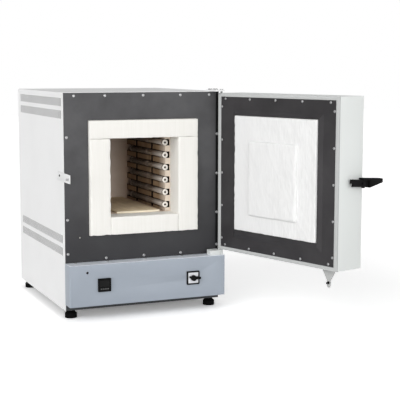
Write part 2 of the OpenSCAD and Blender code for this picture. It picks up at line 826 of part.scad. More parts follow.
// pan with a stepped lip: the inner plate lies in the step, level with the lip
module door_shell() {
    color([0.89, 0.90, 0.91])
    door_pose() difference() {
        translate([0, 0, door_z0]) linear_extrude(door_z1 - door_z0) door_outline(0, bend_r);
        intersection() {
            translate([0, 0, door_z0 + sheet]) linear_extrude(door_z1 - door_z0 - 2 * sheet)
                door_outline(sheet, bend_r - sheet);
            box([-xw, door_y, door_z0], [xw, door_fill_y, door_z1]);
        }
        // hollow under the lip, outside the step
        difference() {
            box([-xi, door_fill_y - eps, door_z0 + sheet], [xi, lip_y - sheet, door_z1 - sheet]);
            box([-xw + lip_w - sheet, door_fill_y - 1, door_z0 + lip_h - sheet],
                [xw - lip_w + sheet, lip_y, door_z1 - lip_h + sheet]);
        }
        // step for the plate and the opening inside it
        box([-xw + lip_w, lip_y - 2, door_z0 + lip_h], [xw - lip_w, lip_y + 1, door_z1 - lip_h]);
        box([-xw + lip_w + seat_w, door_fill_y - 1, door_z0 + lip_h + seat_w],
            [xw - lip_w - seat_w, lip_y + 1, door_z1 - lip_h - seat_w]);
        for (s = door_spots)
            translate([s[0], door_fill_y - 1, s[1]]) rotate([-90, 0, 0]) cylinder(h = 6, d = screw_hole);
        for (z = [door_z0 - 1, door_z1 - sheet - 1])
            translate([hx, hy, z]) cylinder(h = sheet + 2, d = pin_d + 1);
    }
}

// raised border: two trapezoid prisms crossed, so that all four sides slope
module border_frustum(drop) {
    y0 = lip_y - 2 - drop;
    y1 = lip_y + rise - drop;
    run0 = (rise + 2) * slope;
    x0 = pad_x - pad_w / 2 - border;
    x1 = pad_x + pad_w / 2 + border;
    z0 = pad_z0 - border - 13;
    z1 = pad_z0 + pad_h + border;
    intersection() {
        translate([0, 0, z0 - run0]) linear_extrude(z1 - z0 + 2 * run0)
            polygon([[x0 - run0, y0], [x1 + run0, y0], [x1, y1], [x0, y1]]);
        along_x(x0 - run0, x1 - x0 + 2 * run0)
            polygon([[y0, z0 - run0], [y1, z0], [y1, z1], [y0, z1 + run0]]);
    }
}

module door_inner_plate() {
    color([0.27, 0.27, 0.28])
    door_pose() difference() {
        union() {
            box([-plate_x, lip_y - 2, plate_v0], [plate_x, lip_y, plate_v1]);
            border_frustum(0);
        }
        border_frustum(border);
        box([pad_x - pad_w / 2 - 0.5, lip_y - 5, pad_z0 - 0.5],
            [pad_x + pad_w / 2 + 0.5, lip_y + rise + 1, pad_z0 + pad_h + 0.5]);
        for (s = door_spots)
            translate([s[0], lip_y - 3, s[1]]) rotate([-90, 0, 0]) cylinder(h = 6, d = screw_hole);
    }
}

module door_plate_screws() {
    color([0.80, 0.80, 0.80])
    door_pose() for (s = door_spots)
        translate([s[0], lip_y, s[1]]) rotate([-90, 0, 0]) pan_screw(screw_d, 9, head_h, 2 + sheet - 0.1);
}

module door_insulation() {
    color([0.95, 0.94, 0.90])
    door_pose() difference() {
        translate([0, 0, door_z0 + sheet]) linear_extrude(door_z1 - door_z0 - 2 * sheet) intersection() {
            door_outline(sheet, bend_r - sheet);
            translate([-xw, door_y]) square([body_w, door_fill_y - door_y]);
        }
        for (z = [door_z0 + sheet - 1, door_z1 - sheet - bush_h])
            box([hx - 22, hy - 26, z], [xw, lip_y, z + bush_h + 1]);
    }
}

module door_pad() {
    color([0.96, 0.96, 0.95])
    door_pose() box([pad_x - pad_w / 2, door_fill_y, pad_z0], [pad_x + pad_w / 2, pad_y, pad_z0 + pad_h]);
}

module door_plug() {
    color([0.98, 0.98, 0.97])
    door_pose() box([plug_x - plug_w / 2, pad_y, plug_z0], [plug_x + plug_w / 2, plug_y, plug_z0 + plug_h]);
}

// bearing blocks in the door's hinge corners
module door_bushes() {
    color([0.60, 0.61, 0.62])
    door_pose() for (z = [door_z0 + sheet, door_z1 - sheet - bush_h])
        difference() {
            box([hx - 22, hy - 26, z], [xi, door_fill_y, z + bush_h]);
            translate([hx, hy, z - 1]) cylinder(h = bush_h + 2, d = pin_d + 2 * pin_fit);
        }
}

tab_y = pf - 6;

module interlock_tab() {
    color([0.85, 0.86, 0.87])
    door_pose() {
        difference() {
            along_y(tab_y, 3) {
                polygon([[lock_x - 34, door_z0], [lock_x + 33, door_z0], [lock_x + 8, lock_z + 7],
                    [lock_x + 8, lock_z - 9], [lock_x - 8, lock_z - 9], [lock_x - 8, lock_z + 7]]);
                translate([lock_x, lock_z - 9]) circle(8);
            }
            translate([lock_x, tab_y - 1, lock_z]) rotate([-90, 0, 0]) cylinder(h = 5, d = 6.1);
        }
        box([lock_x - 34, tab_y - 24, door_z0 - 3], [lock_x + 33, tab_y + 3, door_z0]);
    }
}

module interlock_pin() {
    color([0.35, 0.35, 0.36])
    door_pose() translate([lock_x, 0, lock_z]) {
        translate([0, tab_y - 6, 0]) rotate([-90, 0, 0]) cylinder(h = tip_y - tab_y + 6, d = 6);
        translate([0, tab_y - 5, 0]) rotate([-90, 0, 0]) cylinder(h = 5, d = 11.5, $fn = 6);
        translate([0, tab_y + 3, 0]) rotate([-90, 0, 0]) cylinder(h = 1.5, d = 10);
    }
}

// base with the spacer boss of the pivot and a stop under the lever
module latch_base() {
    color([0.10, 0.10, 0.10])
    door_pose() difference() {
        union() {
            box([-xw - 3, latch_y - 18, latch_z - 11], [-xw, latch_y + 28, latch_z + 11]);
            box([-xw - 3, latch_y - 18, latch_z - 17.5], [-xw, latch_y - 14, latch_z]);
            box([-xw - 12, latch_y - 18, latch_z - 17.5], [-xw, latch_y - 14, stop_z]);
            translate([-xw - 8.7, latch_y, latch_z]) rotate([0, 90, 0]) cylinder(h = 8.7, d = 16);
        }
        translate([-xw - 20, latch_y, latch_z]) rotate([0, 90, 0]) cylinder(h = 30, d = pivot_d + 0.1);
    }
}

// height of the stop just under the released lever
stop_z = latch_z - 14 * sin(latch_rest) * 1.3 - arm_h / 2 * cos(latch_rest) - 0.3;

module latch_pivot() {
    color([0.30, 0.30, 0.31])
    door_pose() translate([-arm_x - arm_t - cheek_t - 0.3, latch_y, latch_z]) rotate([0, -90, 0]) {
        cylinder(h = 4, d = 11);
        translate([0, 0, -arm_x - arm_t - cheek_t - 0.3 + xw + 0.2])
            cylinder(h = arm_x + arm_t + cheek_t + 0.3 - xw - 0.2 + eps, d = pivot_d);
    }
}

// lever frame: Y towards the furnace, Z up, origin on the pivot, tilted as released
module lever_pose() {
    door_pose() translate([0, latch_y, latch_z]) rotate([latch_rest, 0, 0]) children();
}

tang_l = 34;
arm_back = -26;
arm_nose = keeper_p + 8;
slot_q = -0.9;

module latch_arm() {
    color([0.06, 0.06, 0.06])
    lever_pose() difference() {
        union() {
            along_x(-arm_x - arm_t, arm_t) difference() {
                translate([arm_back, -arm_h / 2]) square([arm_nose - arm_back, arm_h]);
                // hook: the notch for the keeper pin, open downwards, and the short nose
                translate([keeper_p - keeper_d / 2 - 1.1, -arm_h]) square([keeper_d + 1.7, arm_h + slot_q]);
                translate([keeper_p - 0.25, slot_q]) circle(keeper_d / 2 + 0.85);
                translate([keeper_p, -arm_h]) square([20, arm_h - keeper_d / 2 + 1.3]);
            }
            along_x(-arm_x - arm_t - cheek_t, cheek_t)
                translate([arm_back, -arm_h / 2]) square([arm_nose - arm_back, arm_h]);
            box([-arm_x - 7, arm_back - tang_l, -5], [-arm_x - 2, arm_back + eps, 7]);
        }
        translate([-arm_x - 20, 0, 0]) rotate([0, 90, 0]) cylinder(h = 30, d = pivot_d + 0.12);
    }
}

module latch_grip() {
    color([0.05, 0.05, 0.05])
    lever_pose() difference() {
        along_x(-arm_x - 20, 22) polygon([[8, arm_h / 2], [8, arm_h / 2 + 5], [6, arm_h / 2 + 7],
            [-86, arm_h / 2 + 8.5], [-89, arm_h / 2 + 6], [-90, 6.6], [arm_back, -arm_h / 2 - 1],
            [arm_back, arm_h / 2]]);
        box([-arm_x - 7.1, arm_back - tang_l - 0.2, -5.1], [-arm_x - 1.9, arm_back + 1, 7.1]);
    }
}

casing_wrap();
base_tray();
rear_cover();
casing_screws();
front_plate();
collar_top();
collar_bottom();
collar_sides();
chamber_roof();
chamber_floor();
chamber_wall_left();
chamber_wall_right();
chamber_back();
insulation_top();
insulation_bottom();
insulation_sides();
insulation_back();
inner_shell();
heater_tubes();
heater_windings();
hearth_plate();
thermocouple();
control_panel();
controller_bezel();
controller_screen();
controller_case();
key_1();
key_2();
key_3();
key_4();
switch_frame();
switch_plate();
switch_body();
switch_knob();
interlock_switch();
interlock_plunger();
catch_plate();
catch_screw();
catch_pin();
hinge_plate_top();
hinge_bolts();
hinge_pins();
hinge_block_bottom();
foot_pads();
foot_studs();
cable_gland();
relay();
door_shell();
door_inner_plate();
door_plate_screws();
door_insulation();
door_pad();
door_plug();
door_bushes();
interlock_tab();
interlock_pin();
latch_base();
latch_pivot();
latch_arm();
latch_grip();
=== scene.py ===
"""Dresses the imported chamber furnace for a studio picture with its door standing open.

Everything is in metres in the frame of the solids: the origin is the centre of the casing's
underside, the front faces -Y and the door hangs on the +X side.
"""

import logging
import math
from dataclasses import dataclass, field
from enum import Enum
from typing import Callable, Iterable, Optional, Sequence

import bmesh
import bpy
from mathutils import Matrix, Vector, noise


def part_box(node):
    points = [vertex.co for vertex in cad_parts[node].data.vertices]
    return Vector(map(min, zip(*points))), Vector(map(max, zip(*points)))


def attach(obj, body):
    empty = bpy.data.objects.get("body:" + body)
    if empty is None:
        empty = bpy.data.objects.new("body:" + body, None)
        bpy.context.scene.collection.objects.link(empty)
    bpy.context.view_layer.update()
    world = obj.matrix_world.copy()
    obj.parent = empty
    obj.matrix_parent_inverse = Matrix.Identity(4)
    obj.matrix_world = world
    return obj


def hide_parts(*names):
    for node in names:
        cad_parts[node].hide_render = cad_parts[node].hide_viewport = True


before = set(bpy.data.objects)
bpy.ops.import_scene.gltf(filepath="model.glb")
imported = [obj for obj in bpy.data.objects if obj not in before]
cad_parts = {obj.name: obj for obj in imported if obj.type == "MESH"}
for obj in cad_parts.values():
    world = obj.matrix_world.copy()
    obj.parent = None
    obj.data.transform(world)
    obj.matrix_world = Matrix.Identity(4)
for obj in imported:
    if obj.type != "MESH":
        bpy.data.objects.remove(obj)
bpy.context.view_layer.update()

LOG = logging.getLogger("furnace")
Colour = tuple[float, float, float]
Point = tuple[float, float, float]

# Corners sharper than this many degrees stay hard, on hard pieces and on fibre
HARD_ANGLE, FIBRE_ANGLE = 40.0, 60.0

# Edge roundings in metres, and the one above which a corner of fibre takes more segments
FINE_EDGE, SHEET_EDGE, THICK_EDGE, WIDE_CORNER = 0.0005, 0.0006, 0.0008, 0.004


class Grain(Enum):
    """Ways in which a surface is broken up."""

    PEEL = "peel"
    CLOUD = "cloud"
    DRAWN = "drawn"
    FIBRE = "fibre"
    COMBED = "combed"
    PORE = "pore"


class Direction(Enum):
    """Direction in which drawn or combed marks run, as scales along X, Y and Z."""

    UPRIGHT = (1.0, 1.0, 0.04)
    ACROSS = (0.04, 1.0, 1.0)
    INWARD = (1.0, 0.04, 1.0)
    NONE = (1.0, 1.0, 1.0)


# ---- shared shader groups

def new_group(name: str, inputs: Sequence[tuple[str, str, object]],
              outputs: Sequence[tuple[str, str]]
              ) -> tuple[bpy.types.NodeTree, bpy.types.Node, bpy.types.Node]:
    """Starts a shader group with named sockets.

    Args:
        name: The group's name.
        inputs: Name, socket type and default of each input.
        outputs: Name and socket type of each output.

    Returns:
        The node tree with its input and output nodes.
    """
    tree = bpy.data.node_groups.new(name, "ShaderNodeTree")
    for label, kind, default in inputs:
        socket = tree.interface.new_socket(name=label, in_out="INPUT", socket_type=kind)
        if default is not None:
            socket.default_value = default
    for label, kind in outputs:
        tree.interface.new_socket(name=label, in_out="OUTPUT", socket_type=kind)
    return tree, tree.nodes.new("NodeGroupInput"), tree.nodes.new("NodeGroupOutput")


def add_math(tree: bpy.types.NodeTree, operation: str, first: bpy.types.NodeSocket,
             second: bpy.types.NodeSocket | float) -> bpy.types.NodeSocket:
    """Adds one sum to a shader.

    Args:
        tree: The node tree.
        operation: The kind of sum.
        first: The first value.
        second: The second value, as a socket or a number.

    Returns:
        The socket of the result.
    """
    node = tree.nodes.new("ShaderNodeMath")
    node.operation = operation
    tree.links.new(first, node.inputs[0])
    if isinstance(second, float):
        node.inputs[1].default_value = second
    else:
        tree.links.new(second, node.inputs[1])
    return node.outputs[0]


def build_speckle_group() -> bpy.types.NodeTree:
    """Builds the group for a fine even grain, as on powder coat, plastic and brick.

    Returns:
        A tree that puts out a mask from 0 to 1 and a height.
    """
    tree, start, end = new_group(
        "fine_speckle",
        [("Vector", "NodeSocketVector", None), ("Scale", "NodeSocketFloat", 400.0),
         ("Roughness", "NodeSocketFloat", 0.5), ("Coarse", "NodeSocketFloat", 6.0)],
        [("Mask", "NodeSocketFloat"), ("Height", "NodeSocketFloat")])
    fine = tree.nodes.new("ShaderNodeTexNoise")
    fine.inputs["Detail"].default_value = 3.0
    coarse = tree.nodes.new("ShaderNodeTexNoise")
    coarse.inputs["Detail"].default_value = 4.0
    spread = tree.nodes.new("ShaderNodeMapRange")
    spread.inputs["From Min"].default_value = 0.3
    spread.inputs["From Max"].default_value = 0.7
    link = tree.links.new
    link(start.outputs["Vector"], fine.inputs["Vector"])
    link(start.outputs["Vector"], coarse.inputs["Vector"])
    link(start.outputs["Scale"], fine.inputs["Scale"])
    link(start.outputs["Roughness"], fine.inputs["Roughness"])
    link(start.outputs["Coarse"], coarse.inputs["Scale"])
    link(coarse.outputs["Fac"], spread.inputs["Value"])
    link(spread.outputs["Result"], end.inputs["Mask"])
    link(fine.outputs["Fac"], end.inputs["Height"])
    return tree


def build_streak_group() -> bpy.types.NodeTree:
    """Builds the group for marks that run one way, as on drawn sheet and combed fibre.

    Returns:
        A tree that puts out a mask from 0 to 1 and a height.
    """
    tree, start, end = new_group(
        "long_streaks",
        [("Vector", "NodeSocketVector", None), ("Stretch", "NodeSocketVector", (1.0, 1.0, 1.0)),
         ("Scale", "NodeSocketFloat", 90.0), ("Distortion", "NodeSocketFloat", 0.2)],
        [("Mask", "NodeSocketFloat"), ("Height", "NodeSocketFloat")])
    stretch = tree.nodes.new("ShaderNodeVectorMath")
    stretch.operation = "MULTIPLY"
    marks = tree.nodes.new("ShaderNodeTexNoise")
    marks.inputs["Detail"].default_value = 6.0
    marks.inputs["Roughness"].default_value = 0.62
    spread = tree.nodes.new("ShaderNodeMapRange")
    spread.inputs["From Min"].default_value = 0.34
    spread.inputs["From Max"].default_value = 0.66
    link = tree.links.new
    link(start.outputs["Vector"], stretch.inputs[0])
    link(start.outputs["Stretch"], stretch.inputs[1])
    link(stretch.outputs["Vector"], marks.inputs["Vector"])
    link(start.outputs["Scale"], marks.inputs["Scale"])
    link(start.outputs["Distortion"], marks.inputs["Distortion"])
    link(marks.outputs["Fac"], spread.inputs["Value"])
    link(spread.outputs["Result"], end.inputs["Mask"])
    link(marks.outputs["Fac"], end.inputs["Height"])
    return tree


def build_combed_group(streaks: bpy.types.NodeTree) -> bpy.types.NodeTree:
    """Builds the group for hand-laid fibre: fine upright ribs under broad slanting sweeps.

    Args:
        streaks: The group for marks that run one way.

    Returns:
        A tree that puts out a mask from 0 to 1 and a height.
    """
    tree, start, end = new_group(
        "combed_fibre",
        [("Vector", "NodeSocketVector", None), ("Scale", "NodeSocketFloat", 200.0),
         ("Slant", "NodeSocketFloat", 0.45)],
        [("Mask", "NodeSocketFloat"), ("Height", "NodeSocketFloat")])
    link = tree.links.new
    turn = tree.nodes.new("ShaderNodeVectorRotate")
    turn.rotation_type = "X_AXIS"
    link(start.outputs["Vector"], turn.inputs["Vector"])
    link(start.outputs["Slant"], turn.inputs["Angle"])
    ribs = tree.nodes.new("ShaderNodeGroup")
    ribs.node_tree = streaks
    ribs.inputs["Stretch"].default_value = (1.0, 1.0, 0.09)
    ribs.inputs["Distortion"].default_value = 0.8
    link(start.outputs["Vector"], ribs.inputs["Vector"])
    link(start.outputs["Scale"], ribs.inputs["Scale"])
    sweeps = tree.nodes.new("ShaderNodeGroup")
    sweeps.node_tree = streaks
    sweeps.inputs["Stretch"].default_value = (1.0, 1.0, 0.22)
    sweeps.inputs["Scale"].default_value = 38.0
    sweeps.inputs["Distortion"].default_value = 1.2
    link(turn.outputs["Vector"], sweeps.inputs["Vector"])
    for output in ("Mask", "Height"):
        total = tree.nodes.new("ShaderNodeMix")
        total.inputs["Factor"].default_value = 0.42
        link(ribs.outputs[output], total.inputs["A"])
        link(sweeps.outputs[output], total.inputs["B"])
        link(total.outputs["Result"], end.inputs[output])
    return tree


def build_zone_group() -> bpy.types.NodeTree:
    """Builds the group that masks one side of a place along a direction.

    Returns:
        A tree that puts out 0 before the place From and 1 past the place To.
    """
    tree, start, end = new_group(
        "zone_mask",
        [("Vector", "NodeSocketVector", None), ("Direction", "NodeSocketVector", (1.0, 0.0, 0.0)),
         ("From", "NodeSocketFloat", 0.0), ("To", "NodeSocketFloat", 1.0),
         ("Mirrored", "NodeSocketFloat", 0.0), ("Middle", "NodeSocketFloat", 0.0),
         ("Repeat", "NodeSocketFloat", 10.0)],
        [("Mask", "NodeSocketFloat")])
    link = tree.links.new
    along = tree.nodes.new("ShaderNodeVectorMath")
    along.operation = "DOT_PRODUCT"
    link(start.outputs["Vector"], along.inputs[0])
    link(start.outputs["Direction"], along.inputs[1])
    shifted = add_math(tree, "SUBTRACT", along.outputs["Value"], start.outputs["Middle"])
    folded = add_math(tree, "PINGPONG", shifted, start.outputs["Repeat"])
    chosen = tree.nodes.new("ShaderNodeMix")
    link(start.outputs["Mirrored"], chosen.inputs["Factor"])
    link(along.outputs["Value"], chosen.inputs["A"])
    link(folded, chosen.inputs["B"])
    spread = tree.nodes.new("ShaderNodeMapRange")
    link(chosen.outputs["Result"], spread.inputs["Value"])
    link(start.outputs["From"], spread.inputs["From Min"])
    link(start.outputs["To"], spread.inputs["From Max"])
    link(spread.outputs["Result"], end.inputs["Mask"])
    return tree


@dataclass
class ShaderGroups:
    """The shader groups that all finishes share."""

    speckle: bpy.types.NodeTree = field(default_factory=build_speckle_group)
    streaks: bpy.types.NodeTree = field(default_factory=build_streak_group)
    zone: bpy.types.NodeTree = field(default_factory=build_zone_group)
    combed: Optional[bpy.types.NodeTree] = None

    def __post_init__(self) -> None:
        """Builds the combed group on the streaks."""
        self.combed = build_combed_group(self.streaks)


@dataclass(frozen=True)
class Zone:
    """A soft-edged area of another colour on one side of a place along a direction.

    A mirrored zone counts its places both ways from its middle, and again at every second repeat.
    """

    direction: Point
    start: float
    end: float
    colour: Colour
    amount: float = 1.0
    mirrored: bool = False
    middle: float = 0.0
    repeat: float = 10.0


@dataclass(frozen=True)
class Finish:
    """A surface finish: two close colours, their pattern, gloss and relief."""

    name: str
    light: Colour
    dark: Colour
    grain: Grain = Grain.PEEL
    direction: Direction = Direction.NONE
    scale: float = 400.0
    coarse: float = 6.0
    roughness: float = 0.45
    roughness_spread: float = 0.06
    metallic: float = 0.0
    relief: float = 0.1
    depth: float = 0.0002
    coat: float = 0.0
    specular: float = 0.5
    zones: tuple[Zone, ...] = ()

    def add_zones(self, tree: bpy.types.NodeTree, place: bpy.types.NodeSocket,
                  base: bpy.types.NodeSocket, groups: ShaderGroups) -> bpy.types.NodeSocket:
        """Lays the finish's zones over its colour.

        Args:
            tree: The material's node tree.
            place: The coordinates.
            base: The colour so far.
            groups: The shared shader groups.

        Returns:
            The colour with its zones.
        """
        for zone in self.zones:
            mask = tree.nodes.new("ShaderNodeGroup")
            mask.node_tree = groups.zone
            mask.inputs["Direction"].default_value = zone.direction
            mask.inputs["From"].default_value = zone.start
            mask.inputs["To"].default_value = zone.end
            mask.inputs["Mirrored"].default_value = float(zone.mirrored)
            mask.inputs["Middle"].default_value = zone.middle
            mask.inputs["Repeat"].default_value = zone.repeat
            tree.links.new(place, mask.inputs["Vector"])
            share = add_math(tree, "MULTIPLY", mask.outputs["Mask"], zone.amount)
            blend = tree.nodes.new("ShaderNodeMix")
            blend.data_type = "RGBA"
            blend.inputs["B"].default_value = (*zone.colour, 1.0)
            tree.links.new(share, blend.inputs["Factor"])
            tree.links.new(base, blend.inputs["A"])
            base = blend.outputs["Result"]
        return base

    def build(self, groups: ShaderGroups) -> bpy.types.Material:
        """Makes the material of this finish.

        Args:
            groups: The shared shader groups.

        Returns:
            The material, with colour, gloss and relief from its nodes.
        """
        material = bpy.data.materials.new(self.name)
        material.use_nodes = True
        tree = material.node_tree
        link = tree.links.new
        shader = tree.nodes["Principled BSDF"]
        shader.inputs["Metallic"].default_value = self.metallic
        shader.inputs["Specular IOR Level"].default_value = self.specular
        shader.inputs["Coat Weight"].default_value = self.coat
        place = tree.nodes.new("ShaderNodeTexCoord")
        pattern = tree.nodes.new("ShaderNodeGroup")
        if self.grain is Grain.COMBED:
            pattern.node_tree = groups.combed
        elif self.grain in (Grain.DRAWN, Grain.FIBRE):
            pattern.node_tree = groups.streaks
            pattern.inputs["Stretch"].default_value = self.direction.value
            pattern.inputs["Distortion"].default_value = 0.6 if self.grain is Grain.FIBRE else 0.15
        else:
            pattern.node_tree = groups.speckle
            pattern.inputs["Coarse"].default_value = self.coarse
            pattern.inputs["Roughness"].default_value = 0.75 if self.grain is Grain.PORE else 0.5
        pattern.inputs["Scale"].default_value = self.scale
        link(place.outputs["Object"], pattern.inputs["Vector"])
        colour = tree.nodes.new("ShaderNodeMix")
        colour.data_type = "RGBA"
        colour.inputs["A"].default_value = (*self.dark, 1.0)
        colour.inputs["B"].default_value = (*self.light, 1.0)
        link(pattern.outputs["Mask"], colour.inputs["Factor"])
        painted = self.add_zones(tree, place.outputs["Object"], colour.outputs["Result"], groups)
        link(painted, shader.inputs["Base Color"])
        gloss = tree.nodes.new("ShaderNodeMapRange")
        gloss.inputs["To Min"].default_value = self.roughness - self.roughness_spread
        gloss.inputs["To Max"].default_value = self.roughness + self.roughness_spread
        link(pattern.outputs["Height"], gloss.inputs["Value"])
        link(gloss.outputs["Result"], shader.inputs["Roughness"])
        relief = tree.nodes.new("ShaderNodeBump")
        relief.inputs["Strength"].default_value = self.relief
        relief.inputs["Distance"].default_value = self.depth
        link(pattern.outputs["Height"], relief.inputs["Height"])
        link(relief.outputs["Normal"], shader.inputs["Normal"])
        return material


@dataclass(frozen=True)
class DoorPlace:
    """Where the door hangs and how far it stands open."""

    hinge_x: float = 0.292
    hinge_y: float = -0.365
    angle: float = math.radians(107.0)

    def matrix(self) -> Matrix:
        """Turns what is on the door.

        Returns:
            The turn from the closed place to the open one.
        """
        pivot = Vector((self.hinge_x, self.hinge_y, 0.0))
        return Matrix.Translation(pivot) @ Matrix.Rotation(self.angle, 4, "Z") @ Matrix.Translation(-pivot)


DOOR = DoorPlace()


def grey(value: float) -> Colour:
    """Makes a neutral colour.

    Args:
        value: The value of all three channels.

    Returns:
        The colour.
    """
    return (value, value, value)


RIGHT, UP, REARWARD = (1.0, 0.0, 0.0), (0.0, 0.0, 1.0), (0.0, 1.0, 0.0)
DOOR_INWARD = (-math.sin(DOOR.angle), math.cos(DOOR.angle), 0.0)
DOOR_ACROSS = (-math.cos(DOOR.angle), -math.sin(DOOR.angle), 0.0)
WHITE, INK = grey(0.85), grey(0.006)
CHAMBER_FRONT = -0.2543

# Areas of another colour, at an edge or along a shade that the photograph shows
# Painted shade: the inside of the casing wrap and the walls of its vent slots are darkened; the plain top
# and front keep the top and front edge white.
SLOT_WALL_SHADE = Zone(RIGHT, 0.29985, 0.2997, grey(0.13), mirrored=True)
PLAIN_TOP = Zone(UP, 0.768, 0.770, WHITE)
PLAIN_FRONT = Zone(REARWARD, -0.3225, -0.3235, WHITE)
LIP_SHADE = Zone(DOOR_INWARD, -0.1674, -0.1669, (0.34, 0.35, 0.35))
# Painted shade on the face of the door's lip, the door's own paint made darker.
LIP_EDGE_SHADE = Zone(DOOR_INWARD, -0.16485, -0.1647, (0.52, 0.53, 0.525))
# Painted highlight along the top ledge of the control box.
PANEL_LEDGE_HIGHLIGHT = Zone(UP, 0.1713, 0.1721, (0.76, 0.80, 0.86))
PLATE_SHADE = Zone(UP, 0.52, 0.20, (0.036, 0.036, 0.039), 0.85)
# Painted shadow: a near-black strip down the hinge side of the front plate.
HINGE_SHADOW_STRIP = Zone(RIGHT, 0.2868, 0.2876, grey(0.004))
PAD_SHADE = Zone(DOOR_ACROSS, 0.82, 0.55, grey(0.77), 0.75)
BRICK_SHADE = Zone(RIGHT, 0.03, 0.112, (0.42, 0.29, 0.20), 0.8)
# Painted shade on the side walls, darker towards the back of the chamber.
WALL_REAR_SHADE = Zone(REARWARD, -0.14, 0.08, (0.20, 0.13, 0.08), 0.5)
# Painted shade in bands round each row of tubes on the side walls.
GROOVE_ROW_SHADE = Zone(UP, 0.0165, 0.0120, (0.04, 0.024, 0.015), 0.9, mirrored=True, middle=0.356,
                   repeat=0.0233)
# Painted light on the side walls, growing towards the mouth of the chamber.
WALL_FORE_LIGHT = Zone(REARWARD, -0.185, -0.25, (0.88, 0.77, 0.66), 0.95)
# Painted shade in the depth of the grooves that hold the tubes.
GROOVE_DEPTH_SHADE = Zone(RIGHT, 0.1130, 0.1150, (0.022, 0.012, 0.007), mirrored=True)
WALL_FACE = Zone(REARWARD, CHAMBER_FRONT, -0.2546, (0.80, 0.69, 0.58))
# Painted highlight on the front face of the hearth plate.
HEARTH_FACE_HIGHLIGHT = Zone(REARWARD, CHAMBER_FRONT, -0.2547, (0.97, 0.88, 0.70))
TUBE_TIPS = Zone(REARWARD, -0.2470, -0.2485, (0.90, 0.86, 0.80))
# Painted shade on the wire, darker towards the back of the chamber.
WIRE_REAR_SHADE = Zone(REARWARD, -0.10, 0.03, (0.055, 0.038, 0.027), 0.65)
# Painted highlight on the wire, growing towards the front of the chamber.
WIRE_FORE_LIGHT = Zone(REARWARD, -0.13, -0.235, (0.92, 0.86, 0.80), 0.75)
SWITCH_BORDER = (Zone(RIGHT, 0.1507, 0.1502, INK), Zone(RIGHT, 0.1893, 0.1898, INK),
                 Zone(UP, 0.0772, 0.0767, INK), Zone(UP, 0.1158, 0.1163, INK))

